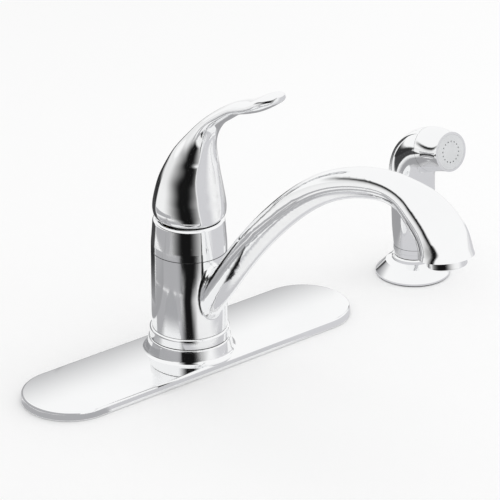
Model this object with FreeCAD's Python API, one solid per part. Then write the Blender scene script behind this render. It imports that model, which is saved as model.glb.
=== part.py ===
import FreeCAD, Part
import math
import os
from FreeCAD import Placement, Rotation, Vector

# Single-lever kitchen faucet with a low arched swing spout, a long deck plate and a side spray.
#
# Millimetres, +Z up. The origin is on the deck surface under the middle of the valve body. The deck
# plate lies along X, the spout, the lever and the spray head point along -Y, and the side spray stands
# at the +X end. Each function below makes one separate piece, and the pieces are written at the end.

os.makedirs("parts", exist_ok=True)

# ---------------------------------------------------------------- driving dimensions: deck plate
HOLE_PITCH = 101.6            # sink holes lie 4 in apart
PLATE_LENGTH = 266.0
PLATE_WIDTH = 64.5
PLATE_HEIGHT = 6.0
PLATE_WALL = 2.4
PLATE_TOP_ROUND = 1.6
BOSS_TOP = 15.9
BOSS_TOP_RADIUS = 27.7
BOSS_ROUND = 1.1
BOSS_FOOT_RADIUS = 29.2
BOSS_FOOT_HEIGHT = 2.4        # how far the concave foot climbs above the plate
BOSS_FLARE = 3.4              # how far the foot spreads over the plate
GASKET_THICKNESS = 1.6
GASKET_INSET = 0.4
STUD_RADIUS = 3.0
STUD_ROOT_RADIUS = 3.4        # where the stud is set in the plate
STUD_THREAD_RADIUS = 2.75
STUD_LENGTH = 38.0
DECK_ROOM = 14.0              # plain length of the shanks for the deck itself
STUD_BOSS_RADIUS = 6.0
STUD_WASHER_RADIUS = 9.0
STUD_WASHER_THICKNESS = 1.2
STUD_NUT_RADIUS = 6.5
STUD_NUT_HEIGHT = 6.0
WING_SPAN = 24.0
WING_THICKNESS = 2.2
WING_HEIGHT = 9.0

# ---------------------------------------------------------------- driving dimensions: valve body
BODY_RADIUS = 25.4            # a 2 in body
COLUMN_RADIUS = 17.6
SHANK_RADIUS = 17.0
SPIGOT_RADIUS = 17.4          # the part of the shank inside the deck plate
SHANK_THREAD_RADIUS = 16.5
SHANK_LENGTH = 55.0
SHANK_RELIEF = 1.5
SHANK_RELIEF_DEPTH = 0.6
FLANGE_RADIUS = 23.0
FLANGE_THICKNESS = 2.7
SEAL_THICKNESS = 0.5
SEAL_SETBACK = 1.0
BASE_RING_RADIUS = 26.9
BASE_RING_TOP = 23.1
BASE_RING_CHAMFER = 1.5
GLIDE_THICKNESS = 0.6
HUB_BOTTOM = 23.3
HUB_TOP = 78.85
UPPER_GLIDE_THICKNESS = 0.45
COLUMN_TOP = 89.0
NECK_RADIUS = 15.0
NECK_TOP = 97.6
CARTRIDGE_BORE = 12.0
CARTRIDGE_FLOOR = 42.0
SEAL_RING_RADIUS = 1.35       # half the thickness of a spout seal
SEAL_INSET = 7.6              # seals lie this far inside the ends of the hub
WATER_BAND_WIDTH = 10.0
WATER_BAND_DEPTH = 1.2
OUTLET_PORT_RADIUS = 4.0
INLET_PORT_RADIUS = 3.6
INLET_THREAD_RADIUS = 4.5     # M10 x 1 tapping
INLET_THREAD_LENGTH = 12.0
INLET_OFFSET = 9.2
NIPPLE_RADIUS = 4.8
NIPPLE_THREAD_RADIUS = 4.2
NIPPLE_LENGTH = 12.0
NIPPLE_BORE = 2.8
DIVERTER_BELOW_SEAL = 2.3     # wall between the diverter and the upper spout seal
DIVERTER_RADIUS = 3.6
WASHER_RADIUS = 27.0
WASHER_THICKNESS = 2.0
MOUNTING_NUT_FLATS = 42.0
MOUNTING_NUT_HEIGHT = 9.0
RETAINER_FLATS = 35.0
RETAINER_HEIGHT = 5.5

# ---------------------------------------------------------------- driving dimensions: bonnet ring
BONNET_TOP = 101.7
BONNET_WALL = 2.6
BONNET_TOP_RADIUS = 24.1
BONNET_MOUTH_RADIUS = 20.3
BONNET_ROUND = 2.2
BONNET_WEB = 5.0
BONNET_TAPER = 0.1

# ---------------------------------------------------------------- driving dimensions: spout
SPOUT_ROOT_HEIGHT = 52.0
SPOUT_RISE = 54.2             # heading where the spout leaves the hub, degrees above level
SPOUT_STRAIGHT = 35.2
SPOUT_BENDS = ((390.0, 14.9), (162.0, 29.1), (62.1, 45.3), (25.8, 44.9))   # radius and degrees
SPOUT_TUBE_RADIUS = 9.75
SPOUT_SWELL = (1.01, 1.03, 1.09, 1.22, 1.40, 1.52, 1.60, 1.68, 1.77)   # nose stations, by tube radius
SPOUT_ROOT_FILLET = 3.0
SPOUT_BORE = 6.0

# ---------------------------------------------------------------- driving dimensions: aerator
AERATOR_RADIUS = 12.3
AERATOR_DROP = 6.0            # how far the aerator stands out of the nose
AERATOR_THREAD_RADIUS = 11.9
AERATOR_THREAD_LENGTH = 7.0
AERATOR_BORE = 9.6
AERATOR_LIP = 1.0
AERATOR_WASHER = 1.5
AERATOR_HOLE_RADIUS = 0.8
AERATOR_HOLE_PITCH = 3.0
SCREEN_THICKNESS = 0.4
SCREEN_HOLE_RADIUS = 0.6
SCREEN_HOLE_PITCH = 1.9

# ---------------------------------------------------------------- driving dimensions: cartridge
SLEEVE_BORE = 5.2
SLEEVE_PORT_RADIUS = 3.0
STEM_NECK_RADIUS = 3.0
STEM_SHOULDER = 93.5
STEM_TOP = 115.0
STEM_PIN_HEIGHT = 112.0
STEM_PIN_RADIUS = 1.5
CARTRIDGE_SEAL_RADIUS = 0.8
CARTRIDGE_SEAL_LIFTS = (6.0, 19.0, 31.0)   # above the cartridge's floor
SLEEVE_FLOOR = 3.0
STEM_FLOOR = 5.0              # the stem ends this far above the bore's floor
CLIP_GROOVE_DEPTH = 0.8
CARRIER_RADIUS = 16.4
CARRIER_THICKNESS = 2.6
CARRIER_CLIP_THICKNESS = 0.9
CLIP_MOUTH = 0.6              # half opening of the clip, by the sleeve's radius
CLIP_RADIUS = 13.9
PIVOT_Y = 16.0                # the handle tips about this line behind the cartridge
PIVOT_Z = 104.5
PIVOT_PIN_RADIUS = 1.5
LIFT_ANGLE = 18.0
LUG_WIDTH = 6.2
LUG_RADIUS = 2.5

# ---------------------------------------------------------------- driving dimensions: lever handle
# Upright part: height, shift towards the front, radius
DOME = ((102.4, 0.5, 21.8), (104.6, 0.9, 23.6), (108.5, 0.7, 24.5), (114.0, 0.6, 24.3),
        (121.4, 0.8, 22.9), (128.7, 1.3, 21.4), (136.5, 2.6, 19.2), (144.0, 4.8, 17.0))
# Bent part and lever: reach, height, lean from upright in degrees, half width, half thickness
LEVER = ((8.5, 151.4, 19.0, 14.8, 13.0), (12.5, 159.8, 28.0, 12.2, 9.3), (18.4, 169.0, 38.0, 10.3, 6.6),
         (27.2, 178.7, 50.0, 9.4, 4.8), (39.4, 187.9, 60.0, 9.1, 4.6), (52.1, 195.9, 66.0, 9.4, 4.4),
         (63.1, 200.3, 66.0, 10.1, 4.6), (72.1, 204.2, 62.0, 10.7, 4.6), (80.4, 209.1, 60.0, 10.8, 4.5),
         (86.4, 212.8, 60.0, 9.3, 4.1), (90.4, 215.0, 60.0, 6.3, 3.2), (92.6, 216.6, 60.0, 2.6, 0.9))
# Hollow front: reach of the bottom of the hollow, height, lean, half width at the crease, depth
SCOOP = ((22.3, 98.0, 0.0, 7.2, 1.0), (22.5, 106.0, 0.0, 7.6, 1.2), (20.0, 121.0, 0.0, 9.0, 1.7),
         (17.6, 136.5, 4.0, 9.6, 2.2), (18.0, 148.0, 10.0, 8.0, 2.6), (20.2, 160.0, 22.0, 5.6, 2.6),
         (27.4, 171.0, 40.0, 4.6, 2.2), (37.0, 179.0, 56.0, 4.2, 1.6), (49.0, 185.5, 64.0, 3.4, 0.9))
CAVITY_RADIUS = 19.9
CAVITY_STEP = 107.6           # the cavity is straight up to here, then narrows
CAVITY_TOP_RADIUS = 12.6
CAVITY_TOP = 121.5
SOCKET_RADIUS = 6.4
SOCKET_TOP = 135.0
CHEEK_THICKNESS = 2.3
CHEEK_GAP = 0.3
BRACKET_FRONT = 8.4
BRACKET_REAR = 8.0
BRACKET_BRIDGE = 116.6
BRIDGE_THICKNESS = 3.4
DOME_FRONT_EDGE = 102.4
DOME_REAR_EDGE = 103.9
SET_SCREW_RADIUS = 2.5
SET_SCREW_LENGTH = 9.0
SET_SCREW_HEIGHT = 127.5
HEX_KEY_FLATS = 2.5
HEX_KEY_DEPTH = 3.0

# ---------------------------------------------------------------- driving dimensions: side spray
SPRAY_X = 2 * HOLE_PITCH
HOLDER_RADIUS = 26.2
HOLDER_GASKET = 0.5
HOLDER_EDGE = 1.3
HOLDER_CONE_RADIUS = 19.3
HOLDER_CONE_HEIGHT = 9.3
HOLDER_NECK_RADIUS = 15.0
HOLDER_NECK_HEIGHT = 11.6
HOLDER_TOP = 14.6
HOLDER_BORE = 11.4
HOLDER_SHANK_RADIUS = 14.0
HOLDER_SHANK_THREAD = 13.6
HOLDER_SHANK_LENGTH = 40.0
HOLDER_NUT_FLATS = 35.0
HOLDER_NUT_HEIGHT = 7.0
HOLDER_WASHER_RADIUS = 22.0
COLLAR_RADIUS = 13.3
COLLAR_GROOVE_RADIUS = 12.3
COLLAR_STEP = 2.9
COLLAR_GROOVE = 0.6
COLLAR_TOP = 21.8
COLLAR_RIM = 0.1              # how far the collar stands out under the grip
GRIP_BOTTOM = 22.0
GRIP_STATIONS = ((0.0, 13.9), (11.0, 14.7), (23.0, 15.1), (37.0, 15.4))   # height in the grip, radius
GRIP_LENGTH = 50.8
GRIP_LEAN = 2.5               # degrees back from upright
GRIP_TRIM = 4.0               # the grip is drawn this much longer and cut off square
SPRAY_BEND_RADIUS = 27.0
SPRAY_TILT = 11.0             # the spray face looks this far above level
SPRAY_NOSE_LENGTH = 16.3
SPRAY_RADIUS = 15.6
SPRAY_NOSE_RADIUS = 13.9
SPRAY_FACE_RADIUS = 12.2
SPRAY_FACE_THICKNESS = 3.0
SPRAY_EDGE_ROUND = 1.0
SPRAY_SEAM = 20.0             # seam of the head's front shell, behind the face
SEAM_GAP = 0.2
SPRAY_CHAMBER_RADIUS = 10.6
SPRAY_CHAMBER_DEPTH = 14.0
SPRAY_HOLES = 16
SPRAY_HOLE_RADIUS = 0.55
SPRAY_HOLE_CIRCLE = 7.3
SPRAY_WATERWAY = 5.0
CONNECTOR_FLATS = 15.3
CONNECTOR_RADIUS = 7.2
CONNECTOR_BOTTOM = -10.0
CONNECTOR_PORT_RADIUS = 4.2
CONNECTOR_BORE = 3.2
TRIGGER_INNER = 14.0          # measured from the middle line of the bend, fully pressed
TRIGGER_OUTER = 15.8
TRIGGER_HALF_WIDTH = 8.5
TRIGGER_LOW = -9.0            # degrees about the centre of the bend
TRIGGER_HIGH = 69.0
TRIGGER_PIVOT_ANGLE = 60.0
TRIGGER_PIVOT_RADIUS = 38.0
TRIGGER_KNUCKLE = 2.4
TRIGGER_KNUCKLE_HALF = 5.0
TRIGGER_PIN_RADIUS = 1.2
TRIGGER_PIN_HALF = 8.0
TRIGGER_TRAVEL = 4.0
TRIGGER_SPARE = 0.5           # degrees of room past the full travel
PLUNGER_ANGLE = 20.0
PLUNGER_RADIUS = 2.5
PLUNGER_INNER = 29.0
PLUNGER_COLLAR_RADIUS = 4.0
PLUNGER_SPRING_WIRE = 0.45
PLUNGER_SPRING_TURNS = 4
PLUNGER_FLOOR = 2.6           # wall between the waterway and the spring

# ---------------------------------------------------------------- named clearances
LOOSE = 0.3                   # pieces that pass each other
RUNNING = 0.05                # shafts in their bores, on the radius
SEAT = 0.05                   # pieces that are screwed or pushed together
SMALL = 1.0                   # cutters reach this far past what they cut
LARGE = 400.0
ARC_MIDDLE = 1 - math.sqrt(0.5)   # the middle of a quarter round lies this share inside its corner

UP = Vector(0, 0, 1)
ACROSS = Vector(1, 0, 0)
FORWARD = Vector(0, -1, 0)
ORIGIN = Vector(0, 0, 0)


# ---------------------------------------------------------------- shared shapes
def cylinder(radius, low, high, x=0.0, y=0.0):
    return Part.makeCylinder(radius, high - low, Vector(x, y, low))


def ring(outer, inner, low, high, x=0.0, y=0.0):
    return cylinder(outer, low, high, x, y).cut(cylinder(inner, low - SMALL, high + SMALL, x, y))


def cross_cylinder(radius, half_length, y, z, x=0.0):
    return Part.makeCylinder(radius, 2 * half_length, Vector(x - half_length, y, z), ACROSS)


def block(x0, x1, y0, y1, z0, z1):
    return Part.makeBox(x1 - x0, y1 - y0, z1 - z0, Vector(x0, y0, z0))


def turned(outline):
    """A turned solid. An entry is a corner (radius, z), or (mid r, mid z, end r, end z) for an arc."""
    def place(radius, z):
        return Vector(radius, 0, z)

    first = place(*outline[0][-2:])
    edges, last = [], first
    for entry in outline[1:]:
        end = place(*entry[-2:])
        if len(entry) == 4:
            edges.append(Part.Arc(last, place(*entry[:2]), end).toShape())
        else:
            edges.append(Part.LineSegment(last, end).toShape())
        last = end
    edges.append(Part.LineSegment(last, first).toShape())
    return Part.Face(Part.Wire(edges)).revolve(ORIGIN, UP, 360)


def hexagon(flats, low, high, x=0.0, y=0.0):
    corner = flats / math.sqrt(3)
    points = [Vector(x + corner * math.cos(math.radians(60 * k)), y + corner * math.sin(math.radians(60 * k)),
                     low) for k in range(7)]
    return Part.Face(Part.makePolygon(points)).extrude(Vector(0, 0, high - low))


def stadium(length, width, low, high):
    """A bar with full-round ends."""
    radius = width / 2
    half = length / 2 - radius
    corners = [Vector(-half, -radius, low), Vector(half, -radius, low), Vector(half, radius, low),
               Vector(-half, radius, low)]
    right = Part.Arc(corners[1], Vector(half + radius, 0, low), corners[2]).toShape()
    left = Part.Arc(corners[3], Vector(-half - radius, 0, low), corners[0]).toShape()
    front = Part.LineSegment(corners[0], corners[1]).toShape()
    back = Part.LineSegment(corners[2], corners[3]).toShape()
    return Part.Face(Part.Wire([front, right, back, left])).extrude(Vector(0, 0, high - low))


def seal_ring(middle_radius, section_radius, z):
    return Part.makeTorus(middle_radius, section_radius, Vector(0, 0, z))


def sector(centre, inner, outer, low, high, half_width, x=0.0):
    """A band about an X line: radii and degrees seen from the side, forward to the left."""
    def place(radius, degrees):
        angle = math.radians(degrees)
        return Vector(x - half_width, centre.y + radius * math.cos(angle),
                      centre.z + radius * math.sin(angle))

    mid = (low + high) / 2
    edges = [Part.LineSegment(place(inner, low), place(outer, low)).toShape(),
             Part.Arc(place(outer, low), place(outer, mid), place(outer, high)).toShape(),
             Part.LineSegment(place(outer, high), place(inner, high)).toShape(),
             Part.Arc(place(inner, high), place(inner, mid), place(inner, low)).toShape()]
    return Part.Face(Part.Wire(edges)).extrude(Vector(2 * half_width, 0, 0))


def edges_at(shape, test):
    """The edges of which every point that is tried passes the test."""
    picked = []
    for edge in shape.Edges:
        points = edge.discretize(5)
        if all(test(point) for point in points):
            picked.append(edge)
    return picked


class Route:
    """A middle line in the plane of -Y and Z: straight runs and tangent bends. Reach is -Y."""

    def __init__(self, reach, height, heading, runs):
        self.legs = []
        for kind, size, turn in runs:
            length = size if kind == "run" else size * math.radians(turn)
            self.legs.append((kind, size, length, reach, height, heading))
            reach, height, heading = self.step(self.legs[-1], length)
        self.length = sum(leg[2] for leg in self.legs)
        self.end_heading = heading

    @staticmethod
    def step(leg, along):
        kind, size, _, reach, height, heading = leg
        a = math.radians(heading)
        if kind == "run":
            return reach + along * math.cos(a), height + along * math.sin(a), heading
        b = a - along / size
        return (reach + size * (math.sin(a) - math.sin(b)), height - size * (math.cos(a) - math.cos(b)),
                math.degrees(b))

    def at(self, along):
        for leg in self.legs[:-1]:
            if along <= leg[2]:
                return self.step(leg, along)
            along -= leg[2]
        return self.step(self.legs[-1], along)

    def frame(self, along, x=0.0):
        """A placement with Z along the route and X across it."""
        reach, height, heading = self.at(along)
        return Placement(Vector(x, -reach, height), Rotation(ACROSS, 90 - heading))

    def wire(self, x=0.0):
        def place(values):
            return Vector(x, -values[0], values[1])

        edges = []
        for leg in self.legs:
            points = [place(self.step(leg, leg[2] * part)) for part in (0, 0.5, 1)]
            if leg[0] == "run":
                edges.append(Part.LineSegment(points[0], points[2]).toShape())
            else:
                edges.append(Part.Arc(*points).toShape())
        return Part.Wire(edges)


def round_section(placement, radius):
    wire = Part.Wire(Part.makeCircle(radius))
    wire.Placement = placement
    return wire


def oval_section(placement, half_width, half_depth, count=12):
    """A closed smooth curve through points of an ellipse, always started on the same side."""
    points = []
    for k in range(count):
        angle = 2 * math.pi * k / count
        point = Vector(half_width * math.cos(angle), half_depth * math.sin(angle), 0)
        points.append(placement.multVec(point))
    curve = Part.BSplineCurve()
    curve.interpolate(Points=points, PeriodicFlag=True)
    return Part.Wire(curve.toShape())


def route_loft(route, stations, x=0.0):
    return Part.makeLoft([round_section(route.frame(along, x), radius) for along, radius in stations],
                         True, False)


def route_tube(route, radius, x=0.0):
    circle = round_section(route.frame(0, x), radius)
    return route.wire(x).makePipeShell([circle], True, False)


def leaning(reach, height, lean):
    """A section plane whose normal leans forward from upright by lean degrees."""
    return Placement(Vector(0, -reach, height), Rotation(ACROSS, lean))


# ---------------------------------------------------------------- deck plate and its fasteners
STUD_XS = (-HOLE_PITCH, HOLE_PITCH)
SEAL_BOTTOM = BOSS_TOP
FLANGE_BOTTOM = SEAL_BOTTOM + SEAL_THICKNESS
PLATE_HOLE = COLUMN_RADIUS + LOOSE / 2


def deck_plate():
    plate = stadium(PLATE_LENGTH, PLATE_WIDTH, 0, PLATE_HEIGHT)
    top_rim = edges_at(plate, lambda p: abs(p.z - PLATE_HEIGHT) < 0.01)
    plate = plate.makeFillet(PLATE_TOP_ROUND, top_rim)
    foot_top = PLATE_HEIGHT + BOSS_FOOT_HEIGHT
    foot_mid = (BOSS_FOOT_RADIUS + BOSS_FLARE * ARC_MIDDLE, PLATE_HEIGHT + BOSS_FOOT_HEIGHT * ARC_MIDDLE)
    shoulder = (BOSS_TOP_RADIUS - BOSS_ROUND * ARC_MIDDLE, BOSS_TOP - BOSS_ROUND * ARC_MIDDLE)
    boss = turned([(0, PLATE_HEIGHT - SMALL), (BOSS_FOOT_RADIUS + BOSS_FLARE, PLATE_HEIGHT - SMALL),
                   (BOSS_FOOT_RADIUS + BOSS_FLARE, PLATE_HEIGHT),
                   (*foot_mid, BOSS_FOOT_RADIUS, foot_top),
                   (BOSS_TOP_RADIUS, BOSS_TOP - BOSS_ROUND),
                   (*shoulder, BOSS_TOP_RADIUS - BOSS_ROUND, BOSS_TOP), (0, BOSS_TOP)])
    ceiling = PLATE_HEIGHT - PLATE_WALL
    hollow = stadium(PLATE_LENGTH - 2 * PLATE_WALL, PLATE_WIDTH - 2 * PLATE_WALL, -SMALL, ceiling)
    boss_hollow = cylinder(BOSS_TOP_RADIUS - PLATE_WALL, -SMALL, BOSS_TOP - PLATE_WALL)
    shell = plate.fuse(boss).cut(hollow).cut(boss_hollow)
    shell = shell.cut(cylinder(PLATE_HOLE, -SMALL, BOSS_TOP + SMALL))
    for x in STUD_XS:
        shell = shell.fuse(cylinder(STUD_BOSS_RADIUS, GASKET_THICKNESS, ceiling + SMALL / 2, x))
        shell = shell.cut(cylinder(STUD_ROOT_RADIUS + SEAT, -SMALL, ceiling, x))
    return shell.removeSplitter()


def deck_gasket():
    inset = 2 * (PLATE_WALL + GASKET_INSET)
    sheet = stadium(PLATE_LENGTH - inset, PLATE_WIDTH - inset, 0, GASKET_THICKNESS)
    sheet = sheet.cut(cylinder(PLATE_HOLE + SMALL, -SMALL, GASKET_THICKNESS + SMALL))
    for x in STUD_XS:
        sheet = sheet.cut(cylinder(STUD_ROOT_RADIUS + LOOSE, -SMALL, GASKET_THICKNESS + SMALL, x))
    return sheet


def stud(x):
    ceiling = PLATE_HEIGHT - PLATE_WALL
    root = cylinder(STUD_ROOT_RADIUS, 0, ceiling, x)
    thread = cylinder(STUD_THREAD_RADIUS, -STUD_LENGTH, -DECK_ROOM, x)
    return cylinder(STUD_RADIUS, -DECK_ROOM, 0, x).fuse(root).fuse(thread)


STUD_WASHER_TOP = -DECK_ROOM - LOOSE


def stud_washer(x):
    return ring(STUD_WASHER_RADIUS, STUD_THREAD_RADIUS + SEAT, STUD_WASHER_TOP - STUD_WASHER_THICKNESS,
                STUD_WASHER_TOP, x)


def stud_nut(x):
    top = STUD_WASHER_TOP - STUD_WASHER_THICKNESS - SEAT
    nut = cylinder(STUD_NUT_RADIUS, top - STUD_NUT_HEIGHT, top, x)
    wings = block(x - WING_SPAN / 2, x + WING_SPAN / 2, -WING_THICKNESS / 2, WING_THICKNESS / 2,
                  top - WING_HEIGHT, top - STUD_NUT_HEIGHT / 3)
    nut = nut.fuse(wings)
    return nut.cut(cylinder(STUD_THREAD_RADIUS + SEAT, top - WING_HEIGHT - SMALL, top + SMALL, x))


# ---------------------------------------------------------------- valve body and what is fixed to it
LOWER_SEAL_Z = HUB_BOTTOM + SEAL_INSET
UPPER_SEAL_Z = HUB_TOP - SEAL_INSET
DIVERTER_HEIGHT = UPPER_SEAL_Z - SEAL_RING_RADIUS - DIVERTER_RADIUS - DIVERTER_BELOW_SEAL
HUB_BORE = COLUMN_RADIUS + SEAL_RING_RADIUS + RUNNING
GLIDE_RADIUS = BODY_RADIUS - BASE_RING_CHAMFER / 2


def groove(radius, depth, low, high):
    return ring(radius + SMALL, radius - depth, low, high)


def valve_body():
    body = turned([(0, -SHANK_LENGTH), (SHANK_THREAD_RADIUS, -SHANK_LENGTH),
                   (SHANK_THREAD_RADIUS, -DECK_ROOM - SHANK_RELIEF),
                   (SHANK_THREAD_RADIUS - SHANK_RELIEF_DEPTH, -DECK_ROOM - SHANK_RELIEF),
                   (SHANK_THREAD_RADIUS - SHANK_RELIEF_DEPTH, -DECK_ROOM), (SHANK_RADIUS, -DECK_ROOM),
                   (SHANK_RADIUS, 0), (SPIGOT_RADIUS, 0), (SPIGOT_RADIUS, FLANGE_BOTTOM),
                   (FLANGE_RADIUS, FLANGE_BOTTOM),
                   (FLANGE_RADIUS, FLANGE_BOTTOM + FLANGE_THICKNESS),
                   (COLUMN_RADIUS, FLANGE_BOTTOM + FLANGE_THICKNESS), (COLUMN_RADIUS, COLUMN_TOP),
                   (NECK_RADIUS, COLUMN_TOP), (NECK_RADIUS, NECK_TOP), (CARTRIDGE_BORE, NECK_TOP),
                   (CARTRIDGE_BORE, CARTRIDGE_FLOOR), (0, CARTRIDGE_FLOOR)])
    for z in (LOWER_SEAL_Z, UPPER_SEAL_Z):
        half = SEAL_RING_RADIUS + SEAT
        body = body.cut(groove(COLUMN_RADIUS, half, z - half, z + half))
    band = WATER_BAND_WIDTH / 2
    body = body.cut(groove(COLUMN_RADIUS, WATER_BAND_DEPTH, SPOUT_ROOT_HEIGHT - band,
                           SPOUT_ROOT_HEIGHT + band))
    body = body.cut(Part.makeCylinder(OUTLET_PORT_RADIUS, COLUMN_RADIUS + SMALL,
                                      Vector(0, 0, SPOUT_ROOT_HEIGHT), FORWARD))
    body = body.cut(Part.makeCylinder(DIVERTER_RADIUS + SEAT, COLUMN_RADIUS + SMALL,
                                      Vector(0, 0, DIVERTER_HEIGHT), Vector(0, 1, 0)))
    for x in (-INLET_OFFSET, INLET_OFFSET):
        body = body.cut(cylinder(INLET_PORT_RADIUS, -SHANK_LENGTH, CARTRIDGE_FLOOR + SMALL, x))
        body = body.cut(cylinder(INLET_THREAD_RADIUS, -SHANK_LENGTH - SMALL,
                                 -SHANK_LENGTH + INLET_THREAD_LENGTH, x))
    body = body.cut(cylinder(INLET_PORT_RADIUS, -SHANK_LENGTH, CARTRIDGE_FLOOR + SMALL, 0, INLET_OFFSET))
    body = body.cut(cylinder(NIPPLE_THREAD_RADIUS + SEAT, -SHANK_LENGTH - SMALL,
                             -SHANK_LENGTH + INLET_THREAD_LENGTH, 0, INLET_OFFSET))
    return body


def spray_outlet_nipple():
    low = -SHANK_LENGTH - NIPPLE_LENGTH
    high = -SHANK_LENGTH + INLET_THREAD_LENGTH - SEAT
    nipple = turned([(NIPPLE_BORE, low), (NIPPLE_RADIUS, low), (NIPPLE_RADIUS, -SHANK_LENGTH - SEAT),
                     (NIPPLE_THREAD_RADIUS, -SHANK_LENGTH - SEAT), (NIPPLE_THREAD_RADIUS, high),
                     (NIPPLE_BORE, high)])
    nipple.translate(Vector(0, INLET_OFFSET, 0))
    return nipple


def base_seal():
    return ring(BOSS_TOP_RADIUS - BOSS_ROUND - SEAL_SETBACK, PLATE_HOLE, SEAL_BOTTOM, FLANGE_BOTTOM)


def base_ring():
    flange_top = FLANGE_BOTTOM + FLANGE_THICKNESS + SEAT
    rim = BASE_RING_RADIUS - BASE_RING_CHAMFER
    seat = BASE_RING_TOP - GLIDE_THICKNESS
    bulge = BASE_RING_CHAMFER * ARC_MIDDLE
    return turned([(FLANGE_RADIUS + SEAT, FLANGE_BOTTOM), (BASE_RING_RADIUS, FLANGE_BOTTOM),
                   (BASE_RING_RADIUS, BASE_RING_TOP - BASE_RING_CHAMFER),
                   (BASE_RING_RADIUS - bulge, BASE_RING_TOP - bulge, rim, BASE_RING_TOP),
                   (GLIDE_RADIUS + SEAT, BASE_RING_TOP), (GLIDE_RADIUS + SEAT, seat),
                   (COLUMN_RADIUS + SEAT, seat), (COLUMN_RADIUS + SEAT, flange_top),
                   (FLANGE_RADIUS + SEAT, flange_top)])


def lower_glide_ring():
    return ring(GLIDE_RADIUS, COLUMN_RADIUS + SEAT, BASE_RING_TOP - GLIDE_THICKNESS, HUB_BOTTOM - RUNNING)


def upper_glide_ring():
    low = HUB_TOP + RUNNING
    return ring(BODY_RADIUS - 2 * LOOSE, COLUMN_RADIUS + SEAT, low, low + UPPER_GLIDE_THICKNESS)


def mounting_washer():
    top = -DECK_ROOM - SHANK_RELIEF - LOOSE
    return ring(WASHER_RADIUS, SHANK_THREAD_RADIUS + SEAT, top - WASHER_THICKNESS, top)


def mounting_nut():
    top = -DECK_ROOM - SHANK_RELIEF - LOOSE - WASHER_THICKNESS
    nut = hexagon(MOUNTING_NUT_FLATS, top - MOUNTING_NUT_HEIGHT, top)
    return nut.cut(cylinder(SHANK_THREAD_RADIUS + SEAT, top - MOUNTING_NUT_HEIGHT - SMALL, top + SMALL))


BONNET_BOTTOM = HUB_TOP + RUNNING + UPPER_GLIDE_THICKNESS


def bonnet_ring():
    web_top = BONNET_BOTTOM + BONNET_WEB
    lip = BONNET_TOP - BONNET_WALL / 2
    shoulder = BONNET_TOP - BONNET_ROUND
    inside = BONNET_TOP_RADIUS - BONNET_WALL
    bulge = BONNET_ROUND * ARC_MIDDLE
    round_end = (BONNET_TOP_RADIUS - BONNET_ROUND, BONNET_TOP)
    return turned([(COLUMN_RADIUS + SEAT, BONNET_BOTTOM), (BODY_RADIUS, BONNET_BOTTOM),
                   (BODY_RADIUS - BONNET_TAPER, web_top), (BONNET_TOP_RADIUS, shoulder),
                   (BONNET_TOP_RADIUS - bulge, BONNET_TOP - bulge, *round_end),
                   (BONNET_MOUTH_RADIUS, BONNET_TOP), (BONNET_MOUTH_RADIUS, lip), (inside, lip),
                   (inside, web_top), (COLUMN_RADIUS + SEAT, web_top)])


def retainer_nut():
    low = COLUMN_TOP + SEAT
    nut = hexagon(RETAINER_FLATS, low, low + RETAINER_HEIGHT)
    return nut.cut(cylinder(NECK_RADIUS + SEAT, low - SMALL, low + RETAINER_HEIGHT + SMALL))


def diverter():
    length = COLUMN_RADIUS - CARTRIDGE_BORE - SEAT
    plug = Part.makeCylinder(DIVERTER_RADIUS, length, Vector(0, CARTRIDGE_BORE + SEAT, DIVERTER_HEIGHT),
                             Vector(0, 1, 0))
    slot = block(-DIVERTER_RADIUS / 4, DIVERTER_RADIUS / 4, COLUMN_RADIUS - SMALL, COLUMN_RADIUS + SMALL,
                 DIVERTER_HEIGHT - DIVERTER_RADIUS, DIVERTER_HEIGHT + DIVERTER_RADIUS)
    return plug.cut(slot)


# ---------------------------------------------------------------- cartridge and carrier
SLEEVE_RADIUS = CARTRIDGE_BORE - SEAT
CARRIER_BOTTOM = NECK_TOP + RUNNING
CARRIER_TOP = CARRIER_BOTTOM + CARRIER_THICKNESS
CLIP_BOTTOM = CARRIER_TOP + RUNNING
SLEEVE_TOP = CLIP_BOTTOM + CARRIER_CLIP_THICKNESS + LOOSE
CLIP_GROOVE = SLEEVE_RADIUS - CLIP_GROOVE_DEPTH


def cartridge_seal_heights():
    return [CARTRIDGE_FLOOR + lift for lift in CARTRIDGE_SEAL_LIFTS]


def cartridge_sleeve():
    sleeve = cylinder(SLEEVE_RADIUS, CARTRIDGE_FLOOR + SEAT, SLEEVE_TOP)
    sleeve = sleeve.cut(cylinder(SLEEVE_BORE, CARTRIDGE_FLOOR + SLEEVE_FLOOR, SLEEVE_TOP + SMALL))
    for x in (-INLET_OFFSET, INLET_OFFSET):
        sleeve = sleeve.cut(cylinder(SLEEVE_PORT_RADIUS - SMALL, CARTRIDGE_FLOOR - SMALL,
                                     CARTRIDGE_FLOOR + SLEEVE_FLOOR, x))
    for height, side in ((SPOUT_ROOT_HEIGHT, FORWARD), (DIVERTER_HEIGHT, Vector(0, 1, 0))):
        sleeve = sleeve.cut(Part.makeCylinder(SLEEVE_PORT_RADIUS, SLEEVE_RADIUS + SMALL,
                                              Vector(0, 0, height), side))
    half = CARTRIDGE_SEAL_RADIUS + SEAT
    for z in cartridge_seal_heights():
        sleeve = sleeve.cut(groove(SLEEVE_RADIUS, 2 * half - SEAT, z - half, z + half))
    return sleeve.cut(ring(SLEEVE_RADIUS + SMALL, CLIP_GROOVE, CLIP_BOTTOM,
                           CLIP_BOTTOM + CARRIER_CLIP_THICKNESS))


def cartridge_seal(z):
    return seal_ring(SLEEVE_RADIUS - CARTRIDGE_SEAL_RADIUS, CARTRIDGE_SEAL_RADIUS, z)


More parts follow.
